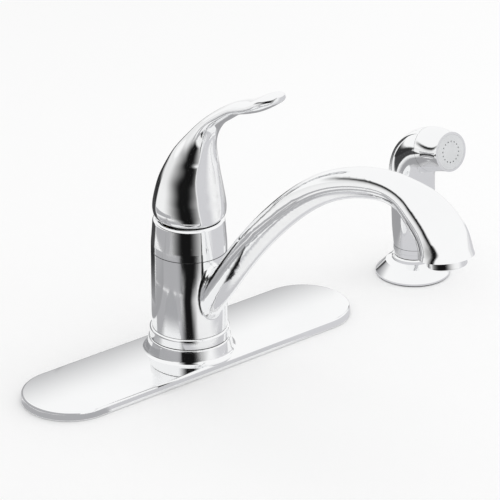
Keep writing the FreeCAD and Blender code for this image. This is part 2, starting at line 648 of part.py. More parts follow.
def carrier_clip():
    clip = ring(CLIP_RADIUS, CLIP_GROOVE + SEAT, CLIP_BOTTOM, CLIP_BOTTOM + CARRIER_CLIP_THICKNESS)
    mouth = SLEEVE_RADIUS * CLIP_MOUTH
    return clip.cut(block(-mouth, mouth, 0, CLIP_RADIUS + SMALL, CLIP_BOTTOM - SMALL,
                          CLIP_BOTTOM + CARRIER_CLIP_THICKNESS + SMALL))


def pivot_carrier():
    carrier = cylinder(CARRIER_RADIUS, CARRIER_BOTTOM, CARRIER_TOP)
    lug = block(-LUG_WIDTH / 2, LUG_WIDTH / 2, PIVOT_Y - LUG_RADIUS, PIVOT_Y + LUG_RADIUS,
                CARRIER_BOTTOM, PIVOT_Z)
    carrier = carrier.fuse(lug).fuse(cross_cylinder(LUG_RADIUS, LUG_WIDTH / 2, PIVOT_Y, PIVOT_Z))
    carrier = carrier.cut(cylinder(SLEEVE_RADIUS + RUNNING, CARRIER_BOTTOM - SMALL, CARRIER_TOP + SMALL))
    carrier = carrier.cut(cylinder(CLIP_RADIUS + LOOSE, CARRIER_TOP,
                                   CLIP_BOTTOM + CARRIER_CLIP_THICKNESS + LOOSE))
    return carrier.cut(cross_cylinder(PIVOT_PIN_RADIUS + RUNNING, LUG_WIDTH, PIVOT_Y, PIVOT_Z))


def pivot_pin():
    return cross_cylinder(PIVOT_PIN_RADIUS, LUG_WIDTH / 2 + CHEEK_GAP + CHEEK_THICKNESS, PIVOT_Y, PIVOT_Z)


def cartridge_stem():
    stem = cylinder(SLEEVE_BORE - RUNNING, CARTRIDGE_FLOOR + STEM_FLOOR, STEM_SHOULDER)
    stem = stem.fuse(cylinder(STEM_NECK_RADIUS, STEM_SHOULDER, STEM_TOP))
    return stem.cut(cross_cylinder(STEM_PIN_RADIUS + SEAT / 2, STEM_NECK_RADIUS + SMALL, 0, STEM_PIN_HEIGHT))


def stem_pin():
    return cross_cylinder(STEM_PIN_RADIUS, LUG_WIDTH / 2 + CHEEK_GAP + CHEEK_THICKNESS, 0, STEM_PIN_HEIGHT)


# ---------------------------------------------------------------- handle
def pin_slide_back():
    """How far the stem pin slides forward in its slots when the handle is fully raised."""
    lift = math.radians(LIFT_ANGLE)
    rise = STEM_PIN_HEIGHT - PIVOT_Z
    return (PIVOT_Y + rise * math.sin(lift)) / math.cos(lift) - PIVOT_Y


def handle_outside():
    sections = [oval_section(leaning(shift, z, 0), radius, radius) for z, shift, radius in DOME]
    sections += [oval_section(leaning(reach, z, lean), half_width, half_depth)
                 for reach, z, lean, half_width, half_depth in LEVER]
    return Part.makeLoft(sections, True, False)


def handle_scoop():
    """The hollow down the front: a rounded cutter that touches its creases at the stated half width."""
    sections = []
    for reach, z, lean, half_width, depth in SCOOP:
        radius = (half_width ** 2 + depth ** 2) / (2 * depth)
        plane = leaning(reach, z, lean)
        centre = plane.multVec(Vector(0, -radius, 0))
        sections.append(oval_section(Placement(centre, plane.Rotation), radius, radius))
    return Part.makeLoft(sections, True, False)


def lever_handle():
    handle = handle_outside().cut(handle_scoop())
    cavity = turned([(0, DOME_FRONT_EDGE - SMALL), (CAVITY_RADIUS, DOME_FRONT_EDGE - SMALL),
                     (CAVITY_RADIUS, CAVITY_STEP), (CAVITY_TOP_RADIUS, CAVITY_TOP), (0, CAVITY_TOP)])
    handle = handle.cut(cavity).cut(cylinder(SOCKET_RADIUS + SEAT, CAVITY_TOP - SMALL, SOCKET_TOP))
    reach = DOME[2][1] + DOME[2][2]
    slope = math.degrees(math.atan2(DOME_REAR_EDGE - DOME_FRONT_EDGE, 2 * DOME[2][2]))
    relief = block(-LARGE / 2, LARGE / 2, 0, LARGE, -LARGE, 0)
    relief.Placement = Placement(Vector(0, -reach, DOME_FRONT_EDGE), Rotation(ACROSS, slope))
    handle = handle.cut(relief)
    return handle.cut(Part.makeCylinder(SET_SCREW_RADIUS + SEAT, LARGE, Vector(0, 0, SET_SCREW_HEIGHT),
                                        Vector(0, 1, 0)))


def handle_bracket():
    inner = LUG_WIDTH / 2 + CHEEK_GAP
    outer = inner + CHEEK_THICKNESS
    low = CLIP_BOTTOM + CARRIER_CLIP_THICKNESS + 2 * LOOSE
    bridge_top = BRACKET_BRIDGE + BRIDGE_THICKNESS
    cheek_low = PIVOT_Z - LUG_RADIUS
    bracket = block(-outer, outer, -BRACKET_FRONT, BRACKET_REAR, low, bridge_top)
    bracket = bracket.fuse(block(-outer, outer, 0, PIVOT_Y, cheek_low, PIVOT_Z + LUG_RADIUS))
    bracket = bracket.fuse(cross_cylinder(LUG_RADIUS, outer, PIVOT_Y, PIVOT_Z))
    bracket = bracket.cut(block(-inner, inner, -LARGE, LARGE, -LARGE, BRACKET_BRIDGE))
    slot_front = -pin_slide_back() - LOOSE
    slot_half = STEM_PIN_RADIUS + LOOSE
    slot = cross_cylinder(slot_half, LARGE, LOOSE, STEM_PIN_HEIGHT)
    slot = slot.fuse(cross_cylinder(slot_half, LARGE, slot_front, STEM_PIN_HEIGHT))
    slot = slot.fuse(block(-LARGE, LARGE, slot_front, LOOSE, STEM_PIN_HEIGHT - slot_half,
                           STEM_PIN_HEIGHT + slot_half))
    bracket = bracket.cut(slot).cut(cross_cylinder(PIVOT_PIN_RADIUS, LARGE, PIVOT_Y, PIVOT_Z))
    return bracket.fuse(cylinder(SOCKET_RADIUS, bridge_top - SMALL, SOCKET_TOP - SEAT)).removeSplitter()


def handle_set_screw():
    start = SOCKET_RADIUS + SEAT
    screw = Part.makeCylinder(SET_SCREW_RADIUS, SET_SCREW_LENGTH, Vector(0, start, SET_SCREW_HEIGHT),
                              Vector(0, 1, 0))
    key = hexagon(HEX_KEY_FLATS, 0, HEX_KEY_DEPTH + SMALL)
    key.Placement = Placement(Vector(0, start + SET_SCREW_LENGTH - HEX_KEY_DEPTH, SET_SCREW_HEIGHT),
                              Rotation(ACROSS, -90))
    return screw.cut(key)


# ---------------------------------------------------------------- spout
SPOUT_ROUTE = Route(BODY_RADIUS, SPOUT_ROOT_HEIGHT, SPOUT_RISE,
                    [("run", SPOUT_STRAIGHT, 0)] + [("bend", radius, turn) for radius, turn in SPOUT_BENDS])
SPOUT_COVER = 5.0             # the end of the tube stays this far inside the hub's wall
INSIDE_HUB = (SPOUT_TUBE_RADIUS * math.sin(math.radians(SPOUT_RISE)) + SPOUT_COVER) / math.cos(
    math.radians(SPOUT_RISE))
NOSE_FRAME = SPOUT_ROUTE.frame(SPOUT_ROUTE.length)


def spout_stations():
    """Distance along the spout and outer radius."""
    bends = [radius * math.radians(turn) for radius, turn in SPOUT_BENDS]
    plain = SPOUT_STRAIGHT + bends[0] + bends[1]
    stations = [(-INSIDE_HUB, SPOUT_TUBE_RADIUS), (SPOUT_STRAIGHT / 2, SPOUT_TUBE_RADIUS)]
    for part in (0, 0.33, 0.66, 1):
        stations.append((SPOUT_STRAIGHT + part * bends[0], SPOUT_TUBE_RADIUS))
    for part in (0.33, 0.66):
        stations.append((SPOUT_STRAIGHT + bends[0] + part * bends[1], SPOUT_TUBE_RADIUS))
    nose = bends[2] + bends[3]
    for k, swell in enumerate(SPOUT_SWELL):
        stations.append((plain + nose * k / (len(SPOUT_SWELL) - 1), SPOUT_TUBE_RADIUS * swell))
    return stations


def spout():
    hub = cylinder(BODY_RADIUS, HUB_BOTTOM, HUB_TOP)
    tube = route_loft(SPOUT_ROUTE, spout_stations())
    body = hub.fuse(tube)
    joint = edges_at(body, lambda p: abs(math.hypot(p.x, p.y) - BODY_RADIUS) < 0.05
                     and HUB_BOTTOM + SMALL < p.z < HUB_TOP - SMALL and p.y < 0)
    body = body.makeFillet(SPOUT_ROOT_FILLET, joint)
    water = route_tube(SPOUT_ROUTE, SPOUT_BORE)
    water = water.fuse(Part.makeCylinder(SPOUT_BORE, BODY_RADIUS, Vector(0, 0, SPOUT_ROOT_HEIGHT), FORWARD))
    seat = cylinder(AERATOR_THREAD_RADIUS + SEAT, -AERATOR_THREAD_LENGTH - AERATOR_WASHER - SEAT, SMALL)
    seat.Placement = NOSE_FRAME
    body = body.cut(water).cut(seat)
    return body.cut(cylinder(HUB_BORE, HUB_BOTTOM - SMALL, HUB_TOP + SMALL))


# ---------------------------------------------------------------- aerator, drawn about the spout's end
def at_nose(shape):
    shape.Placement = NOSE_FRAME
    return shape


def hole_grid(pitch, hole, reach, low, high):
    """Straight holes on a triangular grid that stay inside the reach."""
    holes = []
    rows = int(reach / pitch) + 1
    for row in range(-rows, rows + 1):
        for column in range(-rows, rows + 1):
            x = pitch * (column + 0.5 * (row % 2))
            y = pitch * row * math.sqrt(3) / 2
            if math.hypot(x, y) + hole < reach:
                holes.append(cylinder(hole, low, high, x, y))
    return Part.makeCompound(holes)


def aerator_housing():
    edge = AERATOR_LIP * ARC_MIDDLE
    return at_nose(turned([(AERATOR_BORE, -AERATOR_THREAD_LENGTH),
                           (AERATOR_THREAD_RADIUS, -AERATOR_THREAD_LENGTH),
                           (AERATOR_THREAD_RADIUS, SEAT), (AERATOR_RADIUS, SEAT),
                           (AERATOR_RADIUS, AERATOR_DROP - AERATOR_LIP),
                           (AERATOR_RADIUS - edge, AERATOR_DROP - edge,
                            AERATOR_RADIUS - AERATOR_LIP, AERATOR_DROP),
                           (AERATOR_BORE - AERATOR_LIP, AERATOR_DROP),
                           (AERATOR_BORE - AERATOR_LIP, AERATOR_DROP - AERATOR_LIP),
                           (AERATOR_BORE, AERATOR_DROP - AERATOR_LIP)]))


SCREEN_BOTTOM = -AERATOR_THREAD_LENGTH
INSERT_TOP = SCREEN_BOTTOM + SCREEN_THICKNESS + SEAT


def aerator_insert():
    high = AERATOR_DROP - AERATOR_LIP - SEAT
    insert = cylinder(AERATOR_BORE - SEAT, INSERT_TOP, high)
    reach = AERATOR_BORE - AERATOR_LIP - SMALL
    return at_nose(insert.cut(hole_grid(AERATOR_HOLE_PITCH, AERATOR_HOLE_RADIUS, reach, INSERT_TOP - SMALL,
                                        high + SMALL)))


def aerator_screen():
    screen = cylinder(AERATOR_BORE - SEAT, SCREEN_BOTTOM, SCREEN_BOTTOM + SCREEN_THICKNESS)
    return at_nose(screen.cut(hole_grid(SCREEN_HOLE_PITCH, SCREEN_HOLE_RADIUS, AERATOR_BORE - SMALL,
                                        SCREEN_BOTTOM - SMALL, SCREEN_BOTTOM + SMALL)))


def aerator_washer():
    low = -AERATOR_THREAD_LENGTH - AERATOR_WASHER
    return at_nose(ring(AERATOR_THREAD_RADIUS - SEAT, SPOUT_BORE + SMALL, low, -AERATOR_THREAD_LENGTH - SEAT))


# ---------------------------------------------------------------- side spray: holder
def spray_holder():
    flange = HOLDER_GASKET + HOLDER_EDGE
    neck_round = (HOLDER_TOP - HOLDER_NECK_HEIGHT) * ARC_MIDDLE
    holder = turned([(HOLDER_SHANK_THREAD, -HOLDER_SHANK_LENGTH), (HOLDER_SHANK_THREAD, -DECK_ROOM),
                     (HOLDER_SHANK_RADIUS, -DECK_ROOM), (HOLDER_SHANK_RADIUS, HOLDER_GASKET),
                     (HOLDER_RADIUS, HOLDER_GASKET), (HOLDER_RADIUS, flange),
                     (HOLDER_CONE_RADIUS, HOLDER_CONE_HEIGHT), (HOLDER_NECK_RADIUS, HOLDER_NECK_HEIGHT),
                     (HOLDER_NECK_RADIUS, HOLDER_TOP - neck_round),
                     (HOLDER_NECK_RADIUS - neck_round, HOLDER_TOP), (HOLDER_BORE, HOLDER_TOP),
                     (HOLDER_BORE, -HOLDER_SHANK_LENGTH)])
    holder.translate(Vector(SPRAY_X, 0, 0))
    return holder


def holder_gasket():
    return ring(HOLDER_RADIUS - HOLDER_GASKET, HOLDER_SHANK_RADIUS + SMALL, 0, HOLDER_GASKET, SPRAY_X)


HOLDER_WASHER_TOP = -DECK_ROOM - LOOSE


def holder_washer():
    return ring(HOLDER_WASHER_RADIUS, HOLDER_SHANK_THREAD + SEAT, HOLDER_WASHER_TOP - WASHER_THICKNESS,
                HOLDER_WASHER_TOP, SPRAY_X)


def holder_nut():
    top = HOLDER_WASHER_TOP - WASHER_THICKNESS
    low = top - HOLDER_NUT_HEIGHT
    nut = hexagon(HOLDER_NUT_FLATS, low, top, SPRAY_X)
    return nut.cut(cylinder(HOLDER_SHANK_THREAD + SEAT, low - SMALL, top + SMALL, SPRAY_X))


# ---------------------------------------------------------------- side spray: wand
SPRAY_TURN = 90 + GRIP_LEAN - SPRAY_TILT
SPRAY_ROUTE = Route(0, GRIP_BOTTOM, 90 + GRIP_LEAN, [("run", GRIP_LENGTH, 0),
                                                     ("bend", SPRAY_BEND_RADIUS, SPRAY_TURN),
                                                     ("run", SPRAY_NOSE_LENGTH, 0)])
BEND_CENTRE = SPRAY_ROUTE.frame(GRIP_LENGTH, SPRAY_X).multVec(Vector(0, -SPRAY_BEND_RADIUS, 0))
FACE_FRAME = SPRAY_ROUTE.frame(SPRAY_ROUTE.length, SPRAY_X)
SEAM_FRAME = SPRAY_ROUTE.frame(SPRAY_ROUTE.length - SPRAY_SEAM, SPRAY_X)


def polar(radius, degrees):
    """A point on the middle plane of the spray, about the centre of its bend."""
    angle = math.radians(degrees)
    return BEND_CENTRE + Vector(0, radius * math.cos(angle), radius * math.sin(angle))


TRIGGER_PIVOT = polar(TRIGGER_PIVOT_RADIUS, TRIGGER_PIVOT_ANGLE)


def wand_outside():
    stations = [(-GRIP_TRIM, GRIP_STATIONS[0][1])] + list(GRIP_STATIONS)
    bend = SPRAY_BEND_RADIUS * math.radians(SPRAY_TURN)
    for part in (0, 0.25, 0.5, 0.75, 1):
        stations.append((GRIP_LENGTH + part * bend, SPRAY_RADIUS))
    plain = SPRAY_ROUTE.length - 2 * SPRAY_EDGE_ROUND
    stations += [(plain, SPRAY_NOSE_RADIUS), (SPRAY_ROUTE.length, SPRAY_NOSE_RADIUS)]
    flat = SPRAY_NOSE_RADIUS - SPRAY_EDGE_ROUND
    mid = SPRAY_EDGE_ROUND * (1 - ARC_MIDDLE)
    outer = SPRAY_NOSE_RADIUS + SMALL
    corner = turned([(flat, 0), (flat + mid, mid - SPRAY_EDGE_ROUND, SPRAY_NOSE_RADIUS, -SPRAY_EDGE_ROUND),
                     (outer, -SPRAY_EDGE_ROUND), (outer, SMALL), (flat, SMALL)])
    corner.Placement = FACE_FRAME
    below = cylinder(2 * SPRAY_RADIUS, GRIP_BOTTOM - 2 * GRIP_TRIM, GRIP_BOTTOM, SPRAY_X)
    return route_loft(SPRAY_ROUTE, stations, SPRAY_X).cut(corner).cut(below)


def ahead_of(frame, behind):
    """Everything in front of a plane across the route, moved back by the given amount."""
    half = LARGE / 2
    space = block(-half, half, -half, half, -behind, half)
    space.Placement = frame
    return space


def face_tool(radius, low, high, x=0.0, y=0.0):
    tool = cylinder(radius, low, high, x, y)
    tool.Placement = FACE_FRAME
    return tool


def trigger_band(inner, outer, half_width):
    band = Part.makeTorus(SPRAY_BEND_RADIUS, outer, BEND_CENTRE, ACROSS)
    band = band.cut(Part.makeTorus(SPRAY_BEND_RADIUS, inner, BEND_CENTRE, ACROSS))
    return band.common(sector(BEND_CENTRE, SPRAY_BEND_RADIUS, SPRAY_BEND_RADIUS + 2 * outer, TRIGGER_LOW,
                              TRIGGER_HIGH, half_width, SPRAY_X))


def trigger_room():
    """The space that the trigger needs between rest and pressed."""
    room = []
    for angle in (-TRIGGER_SPARE, TRIGGER_TRAVEL / 2, TRIGGER_TRAVEL + TRIGGER_SPARE):
        band = trigger_band(TRIGGER_INNER - LOOSE, TRIGGER_OUTER + 3 * SMALL, TRIGGER_HALF_WIDTH + LOOSE)
        band.rotate(TRIGGER_PIVOT, ACROSS, angle)
        room.append(band)
    pocket = Part.makeCylinder(TRIGGER_KNUCKLE + LOOSE, 2 * (TRIGGER_KNUCKLE_HALF + LOOSE),
                               TRIGGER_PIVOT - Vector(TRIGGER_KNUCKLE_HALF + LOOSE, 0, 0), ACROSS)
    slit = trigger_arm(TRIGGER_KNUCKLE_HALF + LOOSE, TRIGGER_KNUCKLE + LOOSE, 2 * SMALL)
    return room + [pocket, slit]


def trigger_arm(half_width, half_depth, extra):
    """The web that joins the knuckle to the shell of the trigger."""
    length = SPRAY_BEND_RADIUS + TRIGGER_INNER + extra - TRIGGER_PIVOT_RADIUS
    arm = block(-half_width, half_width, -half_depth, half_depth, 0, length)
    arm.Placement = Placement(TRIGGER_PIVOT, Rotation(ACROSS, TRIGGER_PIVOT_ANGLE - 90))
    return arm


def plunger_tool(radius, low, high):
    start = polar(low, PLUNGER_ANGLE)
    end = polar(high, PLUNGER_ANGLE)
    return Part.makeCylinder(radius, (end - start).Length, start, end - start)


def plunger_travel():
    """How far the trigger pushes the plunger in, along the plunger."""
    contact = polar(SPRAY_BEND_RADIUS + TRIGGER_INNER, PLUNGER_ANGLE) - TRIGGER_PIVOT
    push = Vector(0, contact.z, -contact.y) * math.radians(TRIGGER_TRAVEL)
    return -push.dot(polar(1, PLUNGER_ANGLE) - BEND_CENTRE)


def trigger_face(off_centre):
    """Distance of the trigger's inside from the centre of the bend, off the middle plane."""
    return SPRAY_BEND_RADIUS + math.sqrt(TRIGGER_INNER ** 2 - off_centre ** 2)


SPRING_SEAT = SPRAY_BEND_RADIUS + SPRAY_WATERWAY + PLUNGER_FLOOR
PLUNGER_TIP = trigger_face(PLUNGER_RADIUS) + plunger_travel() - 3 * LOOSE / 2
COLLAR_FACE = trigger_face(PLUNGER_COLLAR_RADIUS) + plunger_travel() - 2 * LOOSE


def spray_body():
    body = wand_outside().cut(ahead_of(SEAM_FRAME, SEAM_GAP))
    for room in trigger_room():
        body = body.cut(room)
    body = body.cut(route_tube(SPRAY_ROUTE, SPRAY_WATERWAY, SPRAY_X))
    body = body.cut(plunger_tool(PLUNGER_RADIUS + RUNNING, SPRAY_BEND_RADIUS, PLUNGER_TIP + SMALL))
    body = body.cut(plunger_tool(PLUNGER_COLLAR_RADIUS + LOOSE, SPRING_SEAT, PLUNGER_TIP + SMALL))
    return body.cut(Part.makeCylinder(TRIGGER_PIN_RADIUS, 2 * TRIGGER_PIN_HALF,
                                      TRIGGER_PIVOT - Vector(TRIGGER_PIN_HALF, 0, 0), ACROSS))


def spray_head_shell():
    shell = wand_outside().common(ahead_of(SEAM_FRAME, 0))
    for room in trigger_room():
        shell = shell.cut(room)
    shell = shell.cut(face_tool(SPRAY_FACE_RADIUS + SEAT, -SPRAY_FACE_THICKNESS, SMALL))
    shell = shell.cut(face_tool(SPRAY_CHAMBER_RADIUS, -SPRAY_CHAMBER_DEPTH, SMALL))
    return shell.cut(route_tube(SPRAY_ROUTE, SPRAY_WATERWAY, SPRAY_X))


def spray_face():
    face = face_tool(SPRAY_FACE_RADIUS, -SPRAY_FACE_THICKNESS + SEAT, 0)
    for k in range(SPRAY_HOLES):
        angle = 2 * math.pi * (k + 0.5) / SPRAY_HOLES
        face = face.cut(face_tool(SPRAY_HOLE_RADIUS, -SPRAY_FACE_THICKNESS - SMALL, SMALL,
                                  SPRAY_HOLE_CIRCLE * math.cos(angle), SPRAY_HOLE_CIRCLE * math.sin(angle)))
    return face


def spray_collar():
    low = HOLDER_TOP + LOOSE
    step = low + COLLAR_STEP
    band = step + COLLAR_GROOVE
    rim = GRIP_STATIONS[0][1] + COLLAR_RIM
    collar = turned([(SPRAY_WATERWAY, low), (COLLAR_RADIUS, low), (COLLAR_RADIUS, step),
                     (COLLAR_GROOVE_RADIUS, step), (COLLAR_GROOVE_RADIUS, band), (rim, band),
                     (rim, COLLAR_TOP), (SPRAY_WATERWAY, COLLAR_TOP)])
    collar.translate(Vector(SPRAY_X, 0, 0))
    return collar


def hose_connector():
    high = HOLDER_TOP + LOOSE - SEAT
    connector = hexagon(CONNECTOR_FLATS, 0, high, SPRAY_X)
    connector = connector.fuse(cylinder(CONNECTOR_RADIUS, CONNECTOR_BOTTOM, 0, SPRAY_X))
    connector = connector.cut(cylinder(CONNECTOR_PORT_RADIUS, CONNECTOR_BOTTOM - SMALL, 0, SPRAY_X))
    return connector.cut(cylinder(CONNECTOR_BORE, CONNECTOR_BOTTOM, high + SMALL, SPRAY_X))


def spray_trigger():
    trigger = trigger_band(TRIGGER_INNER, TRIGGER_OUTER, TRIGGER_HALF_WIDTH)
    knuckle = Part.makeCylinder(TRIGGER_KNUCKLE, 2 * TRIGGER_KNUCKLE_HALF,
                                TRIGGER_PIVOT - Vector(TRIGGER_KNUCKLE_HALF, 0, 0), ACROSS)
    arm = trigger_arm(TRIGGER_KNUCKLE_HALF, TRIGGER_KNUCKLE, SMALL)
    trigger = trigger.fuse(knuckle).fuse(arm)
    trigger.rotate(TRIGGER_PIVOT, ACROSS, TRIGGER_TRAVEL)
    return trigger.cut(Part.makeCylinder(TRIGGER_PIN_RADIUS + RUNNING, 2 * TRIGGER_PIN_HALF,
                                         TRIGGER_PIVOT - Vector(TRIGGER_PIN_HALF, 0, 0), ACROSS))


def trigger_pin():
    half = TRIGGER_PIN_HALF - SEAT
    return Part.makeCylinder(TRIGGER_PIN_RADIUS, 2 * half, TRIGGER_PIVOT - Vector(half, 0, 0), ACROSS)


def spray_plunger():
    plunger = plunger_tool(PLUNGER_RADIUS, PLUNGER_INNER, PLUNGER_TIP)
    return plunger.fuse(plunger_tool(PLUNGER_COLLAR_RADIUS, COLLAR_FACE - SMALL, COLLAR_FACE))


def plunger_spring():
    """The return spring, drawn at its pressed length so that the plunger keeps clear of it."""
    length = COLLAR_FACE - SMALL - plunger_travel() - LOOSE - SPRING_SEAT
    radius = PLUNGER_RADIUS + PLUNGER_SPRING_WIRE + 2 * RUNNING
    free = length - 2 * PLUNGER_SPRING_WIRE
    helix = Part.makeHelix(free / PLUNGER_SPRING_TURNS, free, radius)
    start = Part.Wire(Part.makeCircle(PLUNGER_SPRING_WIRE, Vector(radius, 0, 0), Vector(0, 1, 0)))
    spring = Part.Wire(helix.Edges).makePipeShell([start], True, True)
    base = polar(SPRING_SEAT + PLUNGER_SPRING_WIRE + SEAT, PLUNGER_ANGLE)
    spring.Placement = Placement(base, Rotation(ACROSS, PLUNGER_ANGLE - 90))
    return spring


# ---------------------------------------------------------------- writing the pieces
def group(shapes):
    return Part.makeCompound(shapes)


PIECES = {
    "deck_plate": deck_plate,
    "deck_gasket": deck_gasket,
    "plate_studs": lambda: group([stud(x) for x in STUD_XS]),
    "plate_washers": lambda: group([stud_washer(x) for x in STUD_XS]),
    "plate_wing_nuts": lambda: group([stud_nut(x) for x in STUD_XS]),
    "valve_body": valve_body,
    "base_seal": base_seal,
    "base_ring": base_ring,
    "lower_glide_ring": lower_glide_ring,
    "upper_glide_ring": upper_glide_ring,
    "spout_seals": lambda: group([seal_ring(COLUMN_RADIUS, SEAL_RING_RADIUS, z)
                                  for z in (LOWER_SEAL_Z, UPPER_SEAL_Z)]),
    "mounting_washer": mounting_washer,
    "mounting_nut": mounting_nut,
    "spray_outlet_nipple": spray_outlet_nipple,
    "bonnet_ring": bonnet_ring,
    "retainer_nut": retainer_nut,
    "diverter": diverter,
    "cartridge_sleeve": cartridge_sleeve,
    "cartridge_seals": lambda: group([cartridge_seal(z) for z in cartridge_seal_heights()]),
    "carrier_clip": carrier_clip,
    "pivot_carrier": pivot_carrier,
    "pivot_pin": pivot_pin,
    "cartridge_stem": cartridge_stem,
    "stem_pin": stem_pin,
    "lever_handle": lever_handle,
    "handle_bracket": handle_bracket,
    "handle_set_screw": handle_set_screw,
    "spout": spout,
    "aerator_housing": aerator_housing,
    "aerator_insert": aerator_insert,
    "aerator_screen": aerator_screen,
    "aerator_washer": aerator_washer,
    "spray_holder": spray_holder,
    "holder_gasket": holder_gasket,
    "holder_washer": holder_washer,
    "holder_nut": holder_nut,
    "spray_body": spray_body,
    "spray_head_shell": spray_head_shell,
    "spray_face": spray_face,
    "spray_collar": spray_collar,
    "hose_connector": hose_connector,
    "spray_trigger": spray_trigger,
    "trigger_pin": trigger_pin,
    "spray_plunger": spray_plunger,
    "plunger_spring": plunger_spring,
}

for name, make in PIECES.items():
    shape = make()
    volume = sum(solid.Volume for solid in shape.Solids)
    print(f"{name:20s} solids {len(shape.Solids)} valid {shape.isValid()} volume {volume:10.1f}")
    shape.exportStep(f"parts/{name}.step")
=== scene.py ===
import math

import bpy
import numpy as np
from mathutils import Matrix, Vector


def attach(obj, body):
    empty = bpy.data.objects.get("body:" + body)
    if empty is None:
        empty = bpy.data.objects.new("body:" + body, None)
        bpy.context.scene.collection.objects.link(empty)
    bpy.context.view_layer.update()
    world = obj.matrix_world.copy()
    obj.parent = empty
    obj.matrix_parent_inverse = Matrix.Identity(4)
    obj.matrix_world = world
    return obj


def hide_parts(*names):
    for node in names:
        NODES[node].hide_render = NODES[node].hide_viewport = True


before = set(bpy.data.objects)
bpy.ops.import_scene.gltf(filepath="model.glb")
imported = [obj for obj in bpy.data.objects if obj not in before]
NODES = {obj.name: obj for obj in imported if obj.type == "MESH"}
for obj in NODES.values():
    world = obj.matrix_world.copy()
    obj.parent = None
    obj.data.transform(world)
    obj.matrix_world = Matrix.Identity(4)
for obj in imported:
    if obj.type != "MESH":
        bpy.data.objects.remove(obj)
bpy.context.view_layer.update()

MM = 0.001
# Compass angle of the camera's side, in degrees from -Y; negative is towards -X
CAMERA_SIDE = -39.978

# The wandering of a material's colour, and its fine grain
COARSE_DETAIL = 4.0
FINE_DETAIL = 2.0
GRAIN_FINENESS = 12
GRAIN_DEPTH = 0.2 * MM
DARK_SHARE = 0.3
LIGHT_SHARE = 0.7
# Drawn threads: depth, then pitch and top of the thread for each metal
THREAD_DEPTH = 0.8 * MM
BRASS_THREAD = (1.1 * MM, -15.5 * MM)
STEEL_THREAD = (1.0 * MM, -14.2 * MM)


# ---------------------------------------------------------------- small helpers
def node(tree, kind, inputs=None, **settings):
    """A new shader node with those socket values and settings."""
    made = tree.nodes.new(kind)
    for key, value in settings.items():
        setattr(made, key, value)
    for key, value in (inputs or {}).items():
        made.inputs[key].default_value = value
    return made


def link(tree, source, target):
    tree.links.new(source, target)


def new_material(name):
    """An empty material and its node tree."""
    material = bpy.data.materials.new(name)
    material.use_nodes = True
    tree = material.node_tree
    tree.nodes.clear()
    return material, tree


def ramp(tree, source, stops):
    """A colour that goes through the stops, each a position and a colour."""
    made = node(tree, "ShaderNodeValToRGB")
    elements = made.color_ramp.elements
    while len(elements) < len(stops):
        elements.new(0.5)
    for element, (position, colour) in zip(elements, stops):
        element.position = position
        element.color = (*colour, 1)
    link(tree, source, made.inputs["Fac"])
    return made.outputs["Color"]


def spread(tree, source, low, high):
    """The source's values, spread from low to high."""
    made = node(tree, "ShaderNodeMapRange", {"To Min": low, "To Max": high})
    link(tree, source, made.inputs["Value"])
    return made.outputs["Result"]


def noise(tree, scale, detail, stretch):
    """A noise field in the piece's own space."""
    place = node(tree, "ShaderNodeTexCoord")
    mapping = node(tree, "ShaderNodeMapping", {"Scale": stretch})
    made = node(tree, "ShaderNodeTexNoise", {"Scale": scale, "Detail": detail})
    link(tree, place.outputs["Object"], mapping.inputs["Vector"])
    link(tree, mapping.outputs["Vector"], made.inputs["Vector"])
    return made.outputs["Fac"]


def surface(name, dark, light, rough, metallic=0.0, scale=60.0, stretch=(1, 1, 1), bump=0.0, **extra):
    """A material whose colour and roughness wander a little over the surface."""
    material, tree = new_material(name)
    shader = node(tree, "ShaderNodeBsdfPrincipled", {"Metallic": metallic, **extra})
    out = node(tree, "ShaderNodeOutputMaterial")
    link(tree, shader.outputs["BSDF"], out.inputs["Surface"])
    field = noise(tree, scale, COARSE_DETAIL, stretch)
    stops = ((DARK_SHARE, dark), (LIGHT_SHARE, light))
    link(tree, ramp(tree, field, stops), shader.inputs["Base Color"])
    link(tree, spread(tree, field, *rough), shader.inputs["Roughness"])
    if bump:
        relief = node(tree, "ShaderNodeBump", {"Strength": bump, "Distance": GRAIN_DEPTH})
        grain = noise(tree, scale * GRAIN_FINENESS, FINE_DETAIL, stretch)
        link(tree, grain, relief.inputs["Height"])
        link(tree, relief.outputs["Normal"], shader.inputs["Normal"])
    return material, tree, shader


def threaded(made, pitch, top):
    """Gives that material a fine ridge every pitch, below the height top."""
    material, tree, shader = made
    place = node(tree, "ShaderNodeTexCoord")
    parts = node(tree, "ShaderNodeSeparateXYZ")
    link(tree, place.outputs["Object"], parts.inputs["Vector"])
    turns = node(tree, "ShaderNodeMath", {1: 1 / pitch}, operation="MULTIPLY")
    link(tree, parts.outputs["Z"], turns.inputs[0])
    ridge = node(tree, "ShaderNodeMath", {1: 1.0}, operation="PINGPONG")
    link(tree, turns.outputs[0], ridge.inputs[0])
    below = node(tree, "ShaderNodeMath", {1: top}, operation="LESS_THAN")
    link(tree, parts.outputs["Z"], below.inputs[0])
    height = node(tree, "ShaderNodeMath", operation="MULTIPLY")
    link(tree, ridge.outputs[0], height.inputs[0])
    link(tree, below.outputs[0], height.inputs[1])
    relief = node(tree, "ShaderNodeBump", {"Strength": 1.0, "Distance": THREAD_DEPTH})
    link(tree, height.outputs[0], relief.inputs["Height"])
    link(tree, relief.outputs["Normal"], shader.inputs["Normal"])
    return material


# ---------------------------------------------------------------- materials
# Each has its darkest and lightest colour, its roughness from and to, metal or not, and a noise scale
CHROME = surface("chrome", (0.915, 0.92, 0.925), (0.94, 0.943, 0.946), (0.05, 0.08), 1.0, 25.0)[0]

BRASS_LOOK = ((0.62, 0.46, 0.22), (0.74, 0.57, 0.30), (0.22, 0.38), 1.0, 90.0)
BRASS = surface("brass", *BRASS_LOOK, bump=0.1)[0]
THREADED_BRASS = threaded(surface("threaded_brass", *BRASS_LOOK), *BRASS_THREAD)

